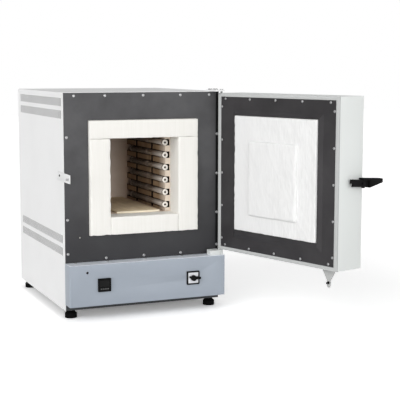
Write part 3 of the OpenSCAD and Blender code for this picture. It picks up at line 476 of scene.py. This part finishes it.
FINISHES = {
    "white_paint": Finish(
        "white_powder_coat", grey(0.86), grey(0.83), scale=900, roughness=0.42, relief=0.12, depth=0.0001,
        specular=0.35),
    "casing_paint": Finish(
        "casing_powder_coat", grey(0.865), grey(0.835), scale=900, roughness=0.42, relief=0.12,
        depth=0.0001, specular=0.35, zones=(SLOT_WALL_SHADE, PLAIN_TOP, PLAIN_FRONT)),
    "door_paint": Finish(
        "pale_powder_coat", (0.80, 0.825, 0.81), (0.775, 0.80, 0.785), scale=900, roughness=0.42,
        relief=0.12, depth=0.0001, specular=0.35, zones=(LIP_SHADE, LIP_EDGE_SHADE)),
    "plain_door_paint": Finish(
        "pale_block_paint", (0.74, 0.76, 0.75), (0.68, 0.70, 0.69), scale=900, roughness=0.42,
        relief=0.12, depth=0.0001, specular=0.35),
    "tab_paint": Finish(
        "plated_bracket", (0.50, 0.505, 0.50), (0.43, 0.435, 0.43), scale=700, coarse=60, roughness=0.4,
        relief=0.12, depth=0.0001, specular=0.3),
    "panel_paint": Finish(
        "blue_grey_powder_coat", (0.372, 0.414, 0.474), (0.347, 0.388, 0.444), scale=900,
        roughness=0.40, relief=0.12, depth=0.0001, specular=0.3, zones=(PANEL_LEDGE_HIGHLIGHT,)),
    # The front plate's cloudy light patches are partly uneven tone and partly painted sheen; its zones
    # paint shade, darker towards the bottom, and a shadow strip down the hinge side.
    "dark_steel": Finish(
        "dark_sheet_with_painted_sheen", (0.106, 0.106, 0.110), (0.066, 0.065, 0.068), Grain.CLOUD, scale=220, coarse=8.0,
        roughness=0.46, roughness_spread=0.10, metallic=0.2, relief=0.08, depth=0.0001, specular=0.25,
        zones=(PLATE_SHADE, HINGE_SHADOW_STRIP)),
    "door_dark_steel": Finish(
        "dark_door_sheet", (0.060, 0.057, 0.060), (0.036, 0.034, 0.036), Grain.CLOUD, scale=220,
        coarse=6.0, roughness=0.5, roughness_spread=0.10, metallic=0.2, relief=0.08, depth=0.0001,
        specular=0.2),
    "zinc_sheet": Finish(
        "zinc_sheet", (0.24, 0.25, 0.26), (0.17, 0.18, 0.19), Grain.CLOUD, scale=60, coarse=30.0,
        roughness=0.42, metallic=0.5, relief=0.05, specular=0.3),
    # Zinc sheet darkened far below its own tone: painted shade for the casing's inside, seen through the
    # vent slots and under the control box.
    "shaded_inner_zinc": Finish(
        "shaded_inner_sheet", (0.07, 0.072, 0.075), (0.05, 0.052, 0.055), Grain.CLOUD, scale=60,
        coarse=30.0, roughness=0.6, metallic=0.3, relief=0.05, specular=0.2),
    "bright_steel": Finish(
        "zinc_plated_screw", (0.60, 0.60, 0.60), (0.36, 0.36, 0.37), scale=700, coarse=300,
        roughness=0.32, metallic=0.85, relief=0.1),
    "black_steel": Finish(
        "blackened_steel", (0.008, 0.008, 0.009), (0.004, 0.004, 0.004), scale=500, coarse=40,
        roughness=0.42, relief=0.15, specular=0.08),
    "fibre": Finish(
        "pressed_fibre", (0.915, 0.90, 0.86), (0.88, 0.865, 0.82), Grain.FIBRE, Direction.UPRIGHT,
        scale=120, roughness=0.92, roughness_spread=0.04, relief=0.25, depth=0.0006, specular=0.1),
    "door_fibre": Finish(
        "combed_door_fibre", (0.905, 0.905, 0.90), (0.75, 0.75, 0.745), Grain.COMBED, scale=230,
        roughness=0.92, roughness_spread=0.04, relief=0.45, depth=0.0012, specular=0.1,
        zones=(PAD_SHADE,)),
    "insulation": Finish(
        "fibre_board", (0.86, 0.84, 0.78), (0.80, 0.78, 0.72), Grain.FIBRE, Direction.ACROSS, scale=90,
        roughness=0.95, roughness_spread=0.03, relief=0.3, depth=0.0006, specular=0.1),
    "brick": Finish(
        "light_brick", (0.90, 0.80, 0.71), (0.80, 0.69, 0.60), Grain.PORE, scale=260, coarse=18,
        roughness=0.9, roughness_spread=0.05, relief=0.5, depth=0.0008, specular=0.1,
        zones=(BRICK_SHADE,)),
    "wall_brick": Finish(
        "browned_wall_brick", (0.47, 0.33, 0.21), (0.30, 0.20, 0.12), Grain.PORE, scale=260, coarse=18,
        roughness=0.9, roughness_spread=0.05, relief=0.5, depth=0.0008, specular=0.1,
        zones=(WALL_REAR_SHADE, GROOVE_ROW_SHADE, WALL_FORE_LIGHT, GROOVE_DEPTH_SHADE, WALL_FACE)),
    "hearth": Finish(
        "hearth_slab", (0.86, 0.72, 0.51), (0.72, 0.58, 0.39), Grain.DRAWN, Direction.INWARD, scale=60,
        roughness=0.8, relief=0.2, depth=0.0004, specular=0.2, zones=(HEARTH_FACE_HIGHLIGHT,)),
    "tube_ceramic": Finish(
        "tube_ceramic", (0.30, 0.24, 0.20), (0.16, 0.12, 0.10), Grain.PORE, scale=500, coarse=60,
        roughness=0.7, relief=0.2, depth=0.0002, specular=0.2, zones=(TUBE_TIPS,)),
    "heating_wire": Finish(
        "oxidised_wire", (0.36, 0.28, 0.21), (0.10, 0.07, 0.05), Grain.DRAWN, Direction.INWARD,
        scale=300, roughness=0.34, metallic=0.5, relief=0.1, zones=(WIRE_REAR_SHADE, WIRE_FORE_LIGHT)),
    "black_plastic": Finish(
        "black_plastic", grey(0.007), grey(0.004), scale=1200, coarse=80, roughness=0.5, relief=0.25,
        depth=0.00015, specular=0.08),
    "grey_plastic": Finish(
        "grey_plastic", grey(0.13), grey(0.10), scale=1000, coarse=80, roughness=0.5, relief=0.15,
        specular=0.2),
    "screen": Finish(
        "tinted_window", grey(0.006), grey(0.004), scale=200, roughness=0.12, roughness_spread=0.02,
        relief=0.02, specular=0.25),
    "switch_face": Finish(
        "satin_switch_face", (0.80, 0.81, 0.84), (0.72, 0.73, 0.76), Grain.DRAWN, Direction.ACROSS,
        scale=300, roughness=0.4, metallic=0.2, relief=0.1, zones=SWITCH_BORDER),
    "pale_plastic": Finish(
        "pale_plastic", (0.74, 0.74, 0.71), (0.70, 0.70, 0.67), scale=900, coarse=60, roughness=0.5,
        relief=0.15),
    "red_plastic": Finish(
        "dark_red_plastic", (0.10, 0.012, 0.010), (0.07, 0.008, 0.008), scale=900, coarse=60,
        roughness=0.45, relief=0.1, specular=0.2),
    "rubber": Finish(
        "black_rubber", grey(0.006), grey(0.003), scale=700, coarse=70, roughness=0.7, relief=0.3,
        depth=0.0002, specular=0.06),
}


@dataclass
class Finishes:
    """Builds each finish once and hands it out by its slot name."""

    groups: ShaderGroups = field(default_factory=ShaderGroups)
    made: dict[str, bpy.types.Material] = field(default_factory=dict)

    def get(self, slot: str) -> bpy.types.Material:
        """Hands out the material for a slot, building it the first time.

        Args:
            slot: The finish's key.

        Returns:
            The material.
        """
        if slot not in self.made:
            self.made[slot] = FINISHES[slot].build(self.groups)
        return self.made[slot]

    def dress_node(self, node: str, slot: str) -> None:
        """Puts a finish on a node of the frame.

        Args:
            node: The node's name.
            slot: The finish's key.
        """
        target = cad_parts[node]
        if not target.material_slots:
            target.data.materials.append(None)
        for place in target.material_slots:
            place.material = self.get(slot)


# ---- mesh tools

def finish_mesh(bm: bmesh.types.BMesh, name: str,
                smooth_angle: float = HARD_ANGLE) -> bpy.types.Object:
    """Turns a bmesh into an object with smooth faces and sharp corners.

    Args:
        bm: The mesh, which is freed.
        name: The object's name.
        smooth_angle: Corners sharper than this many degrees stay hard.

    Returns:
        The new object, linked to the scene.
    """
    bmesh.ops.recalc_face_normals(bm, faces=bm.faces)
    mesh = bpy.data.meshes.new(name)
    bm.to_mesh(mesh)
    bm.free()
    mesh.polygons.foreach_set("use_smooth", [True] * len(mesh.polygons))
    mesh.set_sharp_from_angle(angle=math.radians(smooth_angle))
    piece = bpy.data.objects.new(name, mesh)
    bpy.context.scene.collection.objects.link(piece)
    return piece


def place_piece(piece: bpy.types.Object, slot: str, finishes: Finishes, body: str,
                *nodes: str, material: Optional[str] = None) -> bpy.types.Object:
    """Gives a piece its finish, its body and the nodes that it stands for.

    Args:
        piece: The object.
        slot: The record's material slot.
        finishes: The built finishes.
        body: The body that carries it.
        *nodes: Nodes that it replaces.
        material: The finish's key, where it isn't the slot's own.

    Returns:
        The same object.
    """
    piece.data.materials.clear()
    piece.data.materials.append(finishes.get(material or slot))
    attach(piece, body)
    if nodes:
        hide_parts(*nodes)
    LOG.info("%s: %d faces on %s", piece.name, len(piece.data.polygons), body)
    return piece


def node_copy(node: str, merge: float = 1e-6, flat: float = 1.0) -> bmesh.types.BMesh:
    """Copies a node's mesh, merged and with its flat faces joined.

    Args:
        node: The node's name.
        merge: Corners closer than this many metres become one.
        flat: Faces that meet within this many degrees are joined.

    Returns:
        The copy.
    """
    bm = bmesh.new()
    bm.from_mesh(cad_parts[node].data)
    bmesh.ops.remove_doubles(bm, verts=bm.verts, dist=merge)
    bmesh.ops.dissolve_limit(bm, angle_limit=math.radians(flat), verts=bm.verts, edges=bm.edges)
    return bm


def soften_edges(bm: bmesh.types.BMesh, width: float, segments: int = 2, least: float = 35.0,
                 chosen: Optional[Callable[[bmesh.types.BMEdge], bool]] = None) -> None:
    """Rounds the hard edges of a mesh.

    Args:
        bm: The mesh.
        width: Bevel width in metres.
        segments: Bevel segments.
        least: Edges flatter than this many degrees are left.
        chosen: A further test for an edge, if any.
    """
    edges = [e for e in bm.edges
             if e.is_manifold and e.calc_face_angle(0.0) > math.radians(least)
             and e.calc_length() > 2.2 * width and (chosen is None or chosen(e))]
    if edges:
        bmesh.ops.bevel(bm, geom=edges, offset=width, segments=segments, profile=0.5,
                        affect="EDGES", clamp_overlap=True, material=-1)


def softened_node(node: str, slot: str, finishes: Finishes, body: str, width: float,
                  segments: int = 2, material: Optional[str] = None) -> bpy.types.Object:
    """Stands a softly edged copy in for a node.

    Args:
        node: The node.
        slot: The record's material slot.
        finishes: The built finishes.
        body: The body that carries it.
        width: Bevel width in metres.
        segments: Bevel segments.
        material: The finish's key, where it isn't the slot's own.

    Returns:
        The new piece.
    """
    bm = node_copy(node)
    soften_edges(bm, width, segments)
    piece = finish_mesh(bm, node + "_soft")
    return place_piece(piece, slot, finishes, body, node, material=material)


# Unevenness of fibre: waves of its skin, and how much finer and stronger its chips are
WAVES_PER_METRE, CHIP_FINENESS, CHIP_STRENGTH = 90.0, 1.9, 1.6


def rough_block(low: Sequence[float], high: Sequence[float], corner: float, cell: float,
                wave: float, seed: float, stretch: Sequence[float] = (1.0, 1.0, 1.0),
                chips: float = 0.0) -> bmesh.types.BMesh:
    """Builds a fibre block with softly broken edges and an uneven skin.

    Args:
        low: The lowest corner.
        high: The highest corner.
        corner: Edge rounding in metres.
        cell: Size of the mesh's squares in metres.
        wave: How far the skin waves in, in metres.
        seed: Offset of the pattern.
        stretch: Scales of the pattern along X, Y and Z.
        chips: How far edges are chipped in, in metres.

    Returns:
        The block, wholly inside the two corners.
    """
    bm = bmesh.new()
    size = [b - a for a, b in zip(low, high)]
    centre = [(a + b) / 2 for a, b in zip(low, high)]
    bmesh.ops.create_cube(bm, size=1.0)
    bmesh.ops.scale(bm, vec=size, verts=bm.verts)
    bmesh.ops.translate(bm, vec=centre, verts=bm.verts)
    bmesh.ops.bevel(bm, geom=list(bm.edges), offset=corner, segments=4 if corner > WIDE_CORNER else 2,
                    profile=0.5, affect="EDGES", material=-1)
    for axis in range(3):
        normal = Vector([1.0 if k == axis else 0.0 for k in range(3)])
        steps = max(1, int(size[axis] / cell))
        for i in range(1, steps):
            spot = Vector(centre)
            spot[axis] = low[axis] + size[axis] * i / steps
            bmesh.ops.bisect_plane(bm, geom=bm.verts[:] + bm.edges[:] + bm.faces[:],
                                   plane_co=spot, plane_no=normal)
    shift = Vector((seed, seed * 1.7, seed * 2.3))
    middle = Vector(centre)
    skin = corner * 1.1
    for vert in bm.verts:
        sample = Vector([c * s * WAVES_PER_METRE for c, s in zip(vert.co, stretch)]) + shift
        depth = wave * (0.5 + 0.5 * noise.noise(sample))
        outer = [min(vert.co[k] - low[k], high[k] - vert.co[k]) < skin for k in range(3)]
        if chips and sum(outer) >= 2:
            depth += chips * CHIP_STRENGTH * max(0.0, noise.noise(sample * CHIP_FINENESS))
        inward = [(-1.0 if vert.co[k] > middle[k] else 1.0) if outer[k] else 0.0 for k in range(3)]
        vert.co += Vector(inward) * depth
    return bm


# ---- sub-assemblies

@dataclass
class Casing:
    """Painted casing with its base, rear cover, front plate and feet."""

    finishes: Finishes
    body: str = "casing"

    def build(self) -> None:
        """Dresses the casing's pieces."""
        # The base tray and the inner shell take the darkened inner sheet as painted shade.
        for node, slot in (("casing_wrap", "casing_paint"), ("rear_cover", "white_paint"),
                           ("base_tray", "shaded_inner_zinc"), ("inner_shell", "shaded_inner_zinc"),
                           ("casing_screws", "bright_steel"), ("front_plate", "dark_steel"),
                           ("relay", "pale_plastic"), ("foot_studs", "bright_steel")):
            self.finishes.dress_node(node, slot)
        softened_node("foot_pads", "rubber", self.finishes, self.body, 0.0028, 4)
        softened_node("cable_gland", "black_plastic", self.finishes, self.body, FINE_EDGE)


@dataclass
class Catch:
    """Keeper plate on the left side of the casing."""

    finishes: Finishes
    body: str = "casing"

    def build(self) -> None:
        """Dresses the plate, its screw and the keeper pin."""
        softened_node("catch_plate", "white_paint", self.finishes, self.body, SHEET_EDGE)
        softened_node("catch_pin", "bright_steel", self.finishes, self.body, FINE_EDGE)
        self.finishes.dress_node("catch_screw", "black_steel")


@dataclass
class Collar:
    """Four white fibre blocks round the mouth of the chamber."""

    finishes: Finishes
    body: str = "casing"
    corner: float = 0.0008
    cell: float = 0.012
    wave: float = 0.0005

    def block(self, name: str, low: Sequence[float], high: Sequence[float], seed: float,
              chips: float, node: str) -> bpy.types.Object:
        """Builds one block in a node's place.

        Args:
            name: The piece's name.
            low: Its lowest corner.
            high: Its highest corner.
            seed: Offset of its pattern.
            chips: Depth of the chips along its edges.
            node: The node that it stands for.

        Returns:
            The piece.
        """
        bm = rough_block(low, high, self.corner, self.cell, self.wave, seed, chips=chips)
        return place_piece(finish_mesh(bm, name, FIBRE_ANGLE), "fibre", self.finishes, self.body, node)

    def build(self) -> None:
        """Builds the top, bottom and side blocks."""
        low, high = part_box("collar_top")
        self.block("collar_block_top", low, high, 1.3, 0.0012, "collar_top")
        low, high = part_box("collar_bottom")
        self.block("collar_block_bottom", low, high, 4.1, 0.0010, "collar_bottom")
        inner = high[0]
        low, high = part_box("collar_sides")
        self.block("collar_block_left", low, (-inner, high[1], high[2]), 7.7, 0.0022, "collar_sides")
        self.block("collar_block_right", (inner, low[1], low[2]), high, 9.2, 0.0010, "collar_sides")


@dataclass
class Chamber:
    """Brick chamber with its hearth plate and the insulation round it."""

    finishes: Finishes
    body: str = "casing"

    def build(self) -> None:
        """Dresses the bricks and boards and rounds the hearth plate."""
        # The side boards take the darkened inner sheet too, as painted shade behind the vent slots.
        for node, slot in (("chamber_roof", "brick"), ("chamber_floor", "brick"), ("chamber_back", "brick"),
                           ("chamber_wall_left", "wall_brick"), ("chamber_wall_right", "wall_brick"),
                           ("insulation_top", "insulation"), ("insulation_bottom", "insulation"),
                           ("insulation_back", "insulation"), ("insulation_sides", "shaded_inner_zinc"),
                           ("thermocouple", "tube_ceramic")):
            self.finishes.dress_node(node, slot)
        softened_node("hearth_plate", "hearth", self.finishes, self.body, THICK_EDGE)


@dataclass
class Heating:
    """Support tubes along both side walls, each wound with a heating wire."""

    finishes: Finishes
    body: str = "casing"
    tube_x: float = 0.1135
    first_z: float = 0.356
    pitch_z: float = 0.0466
    rows: int = 6
    starts: tuple[float, float] = (-0.250, -0.067)
    tube_length: float = 0.182
    end_length: float = 0.009
    core: float = 0.0165
    wire: float = 0.0021
    turn_pitch: float = 0.0056
    slack: float = 0.0003
    steps: int = 14
    smooth_angle: float = 70.0

    def coil(self) -> bmesh.types.BMesh:
        """Winds one wire along +Y round the origin.

        Returns:
            The wound wire as a closed mesh.
        """
        length = self.tube_length - 2 * self.end_length - self.wire - 2 * self.slack
        turns = int(length / self.turn_pitch)
        bm = bmesh.new()
        bmesh.ops.create_circle(bm, cap_ends=True, segments=6, radius=self.wire / 2)
        bmesh.ops.translate(bm, vec=(self.core / 2 + self.wire / 2, 0, 0), verts=bm.verts)
        count = turns * self.steps
        rise = turns * self.turn_pitch / count
        bmesh.ops.spin(bm, geom=bm.faces[:] + bm.edges[:] + bm.verts[:], cent=(0, 0, 0), axis=(0, 1, 0),
                       dvec=(0, rise, 0), angle=2 * math.pi * turns, steps=count, use_duplicate=False)
        return bm

    def build(self) -> None:
        """Dresses the tubes and winds every wire."""
        self.finishes.dress_node("heater_tubes", "tube_ceramic")
        for side, name in ((-1, "windings_left"), (1, "windings_right")):
            whole = bmesh.new()
            for start in self.starts:
                for row in range(self.rows):
                    one = self.coil()
                    offset = (side * self.tube_x, start + self.end_length + self.wire / 2 + self.slack,
                              self.first_z + row * self.pitch_z)
                    bmesh.ops.translate(one, vec=offset, verts=one.verts)
                    scratch = bpy.data.meshes.new("scratch")
                    one.to_mesh(scratch)
                    one.free()
                    whole.from_mesh(scratch)
                    bpy.data.meshes.remove(scratch)
            piece = finish_mesh(whole, name, self.smooth_angle)
            place_piece(piece, "heating_wire", self.finishes, self.body, "heater_windings")


@dataclass
class Controls:
    """Control box with its controller, main switch and door switch."""

    finishes: Finishes
    body: str = "casing"

    def build(self) -> None:
        """Dresses the box and everything set into it."""
        softened_node("control_panel", "panel_paint", self.finishes, self.body, FINE_EDGE)
        softened_node("controller_bezel", "black_plastic", self.finishes, self.body, FINE_EDGE)
        self.finishes.dress_node("controller_screen", "screen")
        self.finishes.dress_node("controller_case", "black_plastic")
        for i in range(1, 5):
            softened_node(f"key_{i}", "grey_plastic", self.finishes, f"key_{i}_body", 0.0004)
        softened_node("switch_frame", "black_plastic", self.finishes, self.body, FINE_EDGE)
        softened_node("switch_plate", "switch_face", self.finishes, self.body, 0.0003)
        softened_node("switch_knob", "black_plastic", self.finishes, "knob", THICK_EDGE)
        self.finishes.dress_node("switch_body", "black_plastic")
        self.finishes.dress_node("interlock_switch", "black_plastic")
        self.finishes.dress_node("interlock_plunger", "red_plastic")


@dataclass
class Hinges:
    """Hinge plate, bottom block, pins and bolts."""

    finishes: Finishes
    body: str = "casing"

    def build(self) -> None:
        """Dresses the hinge pieces."""
        softened_node("hinge_plate_top", "white_paint", self.finishes, self.body, SHEET_EDGE)
        softened_node("hinge_block_bottom", "door_paint", self.finishes, self.body, SHEET_EDGE,
                      material="plain_door_paint")
        softened_node("hinge_pins", "bright_steel", self.finishes, self.body, SHEET_EDGE)
        self.finishes.dress_node("hinge_bolts", "bright_steel")


@dataclass
class Door:
    """Thick side-hung door with its dark inner plate, fibre pad and plug."""

    finishes: Finishes
    body: str = "door"
    pad_low: Point = (-0.210, -0.3605, 0.280)
    pad_high: Point = (0.196, -0.3425, 0.696)
    plug_low: Point = (-0.126, -0.3545, 0.339)
    plug_high: Point = (0.117, -0.3315, 0.609)
    cell: float = 0.007
    wave: float = 0.0012
    chips: float = 0.0012
    stretch: Point = (1.4, 1.0, 0.45)

    def fibre(self, name: str, low: Sequence[float], high: Sequence[float], seed: float,
              corner: float, node: str) -> bpy.types.Object:
        """Builds a fibre slab of the door, with combed waves down its face.

        Args:
            name: The piece's name.
            low: Its lowest corner on the closed door.
            high: Its highest corner on the closed door.
            seed: Offset of its pattern.
            corner: Edge rounding in metres.
            node: The node that it stands for.

        Returns:
            The piece.
        """
        bm = rough_block(low, high, corner, self.cell, self.wave, seed, self.stretch, self.chips)
        bmesh.ops.transform(bm, matrix=DOOR.matrix(), verts=bm.verts)
        return place_piece(finish_mesh(bm, name, FIBRE_ANGLE), "fibre", self.finishes, self.body, node,
                           material="door_fibre")

    def build(self) -> None:
        """Builds the fibre and dresses the steel."""
        self.fibre("door_fibre_pad", self.pad_low, self.pad_high, 2.2, 0.0020, "door_pad")
        self.fibre("door_fibre_plug", self.plug_low, self.plug_high, 6.4, 0.0095, "door_plug")
        softened_node("door_shell", "door_paint", self.finishes, self.body, SHEET_EDGE)
        self.finishes.dress_node("door_inner_plate", "door_dark_steel")
        self.finishes.dress_node("door_plate_screws", "bright_steel")
        self.finishes.dress_node("door_insulation", "insulation")
        self.finishes.dress_node("door_bushes", "zinc_sheet")
        softened_node("interlock_tab", "door_paint", self.finishes, self.body, FINE_EDGE,
                      material="tab_paint")
        softened_node("interlock_pin", "black_steel", self.finishes, self.body, FINE_EDGE)


@dataclass
class Latch:
    """Lever latch on the free edge of the door."""

    finishes: Finishes
    body: str = "latch"

    def build(self) -> None:
        """Dresses the base, the pivot, the arm and the grip."""
        softened_node("latch_base", "black_steel", self.finishes, "door", FINE_EDGE)
        softened_node("latch_pivot", "black_steel", self.finishes, "door", THICK_EDGE)
        softened_node("latch_arm", "black_steel", self.finishes, self.body, THICK_EDGE)
        softened_node("latch_grip", "black_plastic", self.finishes, self.body, 0.0022, 3)


# ---- studio

@dataclass(frozen=True)
class Lamp:
    """A far soft lamp, as from a large window.

    Its light comes from the direction source, its apparent width spread is in degrees and softens
    the shadows, and its power is in watts per square metre.
    """

    name: str
    source: Point
    spread: float
    power: float


@dataclass
class Studio:
    """Pale floor, soft lamps and the camera at the photograph's place."""

    floor_z: float = -0.031
    floor_size: float = 30.0
    eye: Point = (-1.33436, -3.94368, 0.87186)
    yaw: float = math.radians(23.2967)
    pitch: float = math.radians(7.1739)
    roll: float = math.radians(0.0888)
    lens: float = 95.708
    sensor: float = 36.0
    far_clip: float = 100.0
    floor_white: float = 0.82
    seen_white: float = 1.42
    floor_lift: float = 0.17
    sky_low: float = 0.69
    sky_high: float = 0.38
    sky_span: tuple[float, float] = (0.1, 0.9)
    lamps: tuple[Lamp, ...] = (Lamp("key", (-0.82, -0.51, 0.30), 60.0, 1.78),
                               Lamp("front", (0.05, -0.97, 0.12), 36.0, 0.92))

    def camera(self) -> bpy.types.Object:
        """Sets up the camera.

        Returns:
            The camera object.
        """
        ahead = Vector((math.sin(self.yaw) * math.cos(self.pitch),
                        math.cos(self.yaw) * math.cos(self.pitch), -math.sin(self.pitch)))
        right = Vector((math.cos(self.yaw), -math.sin(self.yaw), 0.0))
        up = right.cross(ahead)
        across = right * math.cos(self.roll) + up * math.sin(self.roll)
        upward = up * math.cos(self.roll) - right * math.sin(self.roll)
        data = bpy.data.cameras.new("camera")
        data.lens = self.lens
        data.sensor_width = self.sensor
        data.clip_end = self.far_clip
        camera = bpy.data.objects.new("camera", data)
        bpy.context.scene.collection.objects.link(camera)
        turn = Matrix((across, upward, -ahead)).transposed().to_4x4()
        camera.matrix_world = Matrix.Translation(Vector(self.eye)) @ turn
        bpy.context.scene.camera = camera
        return camera

    def light(self, lamp: Lamp) -> bpy.types.Object:
        """Adds a lamp to the scene.

        Args:
            lamp: The lamp's values.

        Returns:
            The lamp object.
        """
        data = bpy.data.lights.new(lamp.name, "SUN")
        data.energy = lamp.power
        data.angle = math.radians(lamp.spread)
        light = bpy.data.objects.new(lamp.name, data)
        bpy.context.scene.collection.objects.link(light)
        light.rotation_euler = (-Vector(lamp.source)).to_track_quat("-Z", "Y").to_euler()
        return light

    def white_for_viewers(self, tree: bpy.types.NodeTree, base: bpy.types.NodeSocket,
                          lift: float) -> bpy.types.NodeSocket:
        """Adds light to a shader for the camera, glossy and clear rays only.

        Args:
            tree: The material's node tree.
            base: The shader to lift.
            lift: How much white is added.

        Returns:
            The lifted shader's socket.
        """
        path = tree.nodes.new("ShaderNodeLightPath")
        seen = add_math(tree, "MAXIMUM", path.outputs["Is Camera Ray"], path.outputs["Is Glossy Ray"])
        clear = add_math(tree, "MAXIMUM", seen, path.outputs["Is Transmission Ray"])
        glow = tree.nodes.new("ShaderNodeEmission")
        tree.links.new(add_math(tree, "MULTIPLY", clear, lift), glow.inputs["Strength"])
        total = tree.nodes.new("ShaderNodeAddShader")
        tree.links.new(base, total.inputs[0])
        tree.links.new(glow.outputs[0], total.inputs[1])
        return total.outputs[0]

    def floor(self) -> bpy.types.Object:
        """Lays the pale floor.

        Returns:
            The floor object.
        """
        bm = bmesh.new()
        bmesh.ops.create_grid(bm, x_segments=1, y_segments=1, size=self.floor_size / 2)
        bmesh.ops.translate(bm, vec=(0, 0, self.floor_z), verts=bm.verts)
        mesh = bpy.data.meshes.new("floor")
        bm.to_mesh(mesh)
        bm.free()
        floor = bpy.data.objects.new("floor", mesh)
        bpy.context.scene.collection.objects.link(floor)
        material = bpy.data.materials.new("pale_floor")
        material.use_nodes = True
        tree = material.node_tree
        tree.nodes.remove(tree.nodes["Principled BSDF"])
        matt = tree.nodes.new("ShaderNodeBsdfDiffuse")
        path = tree.nodes.new("ShaderNodeLightPath")
        tone = tree.nodes.new("ShaderNodeMix")
        tone.inputs["A"].default_value = self.floor_white
        tone.inputs["B"].default_value = self.seen_white
        tree.links.new(path.outputs["Is Camera Ray"], tone.inputs["Factor"])
        tree.links.new(tone.outputs["Result"], matt.inputs["Color"])
        lifted = self.white_for_viewers(tree, matt.outputs[0], self.floor_lift)
        tree.links.new(lifted, tree.nodes["Material Output"].inputs["Surface"])
        floor.data.materials.append(material)
        return floor

    def world(self) -> None:
        """Sets the even light of the room, seen as white."""
        world = bpy.data.worlds.new("room")
        bpy.context.scene.world = world
        world.use_nodes = True
        tree = world.node_tree
        link = tree.links.new
        back = tree.nodes["Background"]
        back.inputs["Color"].default_value = (1.0, 1.0, 1.0, 1.0)
        place = tree.nodes.new("ShaderNodeTexCoord")
        parts = tree.nodes.new("ShaderNodeSeparateXYZ")
        link(place.outputs["Generated"], parts.inputs["Vector"])
        height = tree.nodes.new("ShaderNodeMapRange")
        height.inputs["From Min"].default_value, height.inputs["From Max"].default_value = self.sky_span
        height.inputs["To Min"].default_value = self.sky_low
        height.inputs["To Max"].default_value = self.sky_high
        link(parts.outputs["Z"], height.inputs["Value"])
        path = tree.nodes.new("ShaderNodeLightPath")
        amount = tree.nodes.new("ShaderNodeMix")
        amount.inputs["B"].default_value = 1.0
        link(path.outputs["Is Camera Ray"], amount.inputs["Factor"])
        link(height.outputs["Result"], amount.inputs["A"])
        link(amount.outputs["Result"], back.inputs["Strength"])

    def build(self) -> None:
        """Sets up camera, floor, lamps and room light."""
        self.camera()
        self.floor()
        self.world()
        for lamp in self.lamps:
            self.light(lamp)
        bpy.context.scene.view_settings.view_transform = "Standard"


def main() -> None:
    """Builds the studio and every sub-assembly in order."""
    logging.basicConfig(level=logging.INFO, format="%(name)s %(message)s")
    finishes = Finishes()
    Studio().build()
    parts: Iterable[object] = (Casing(finishes), Catch(finishes), Collar(finishes), Chamber(finishes),
                               Heating(finishes), Controls(finishes), Hinges(finishes),
                               Door(finishes), Latch(finishes))
    for part in parts:
        LOG.info("building %s", type(part).__name__)
        part.build()


if __name__ == "__main__":
    main()
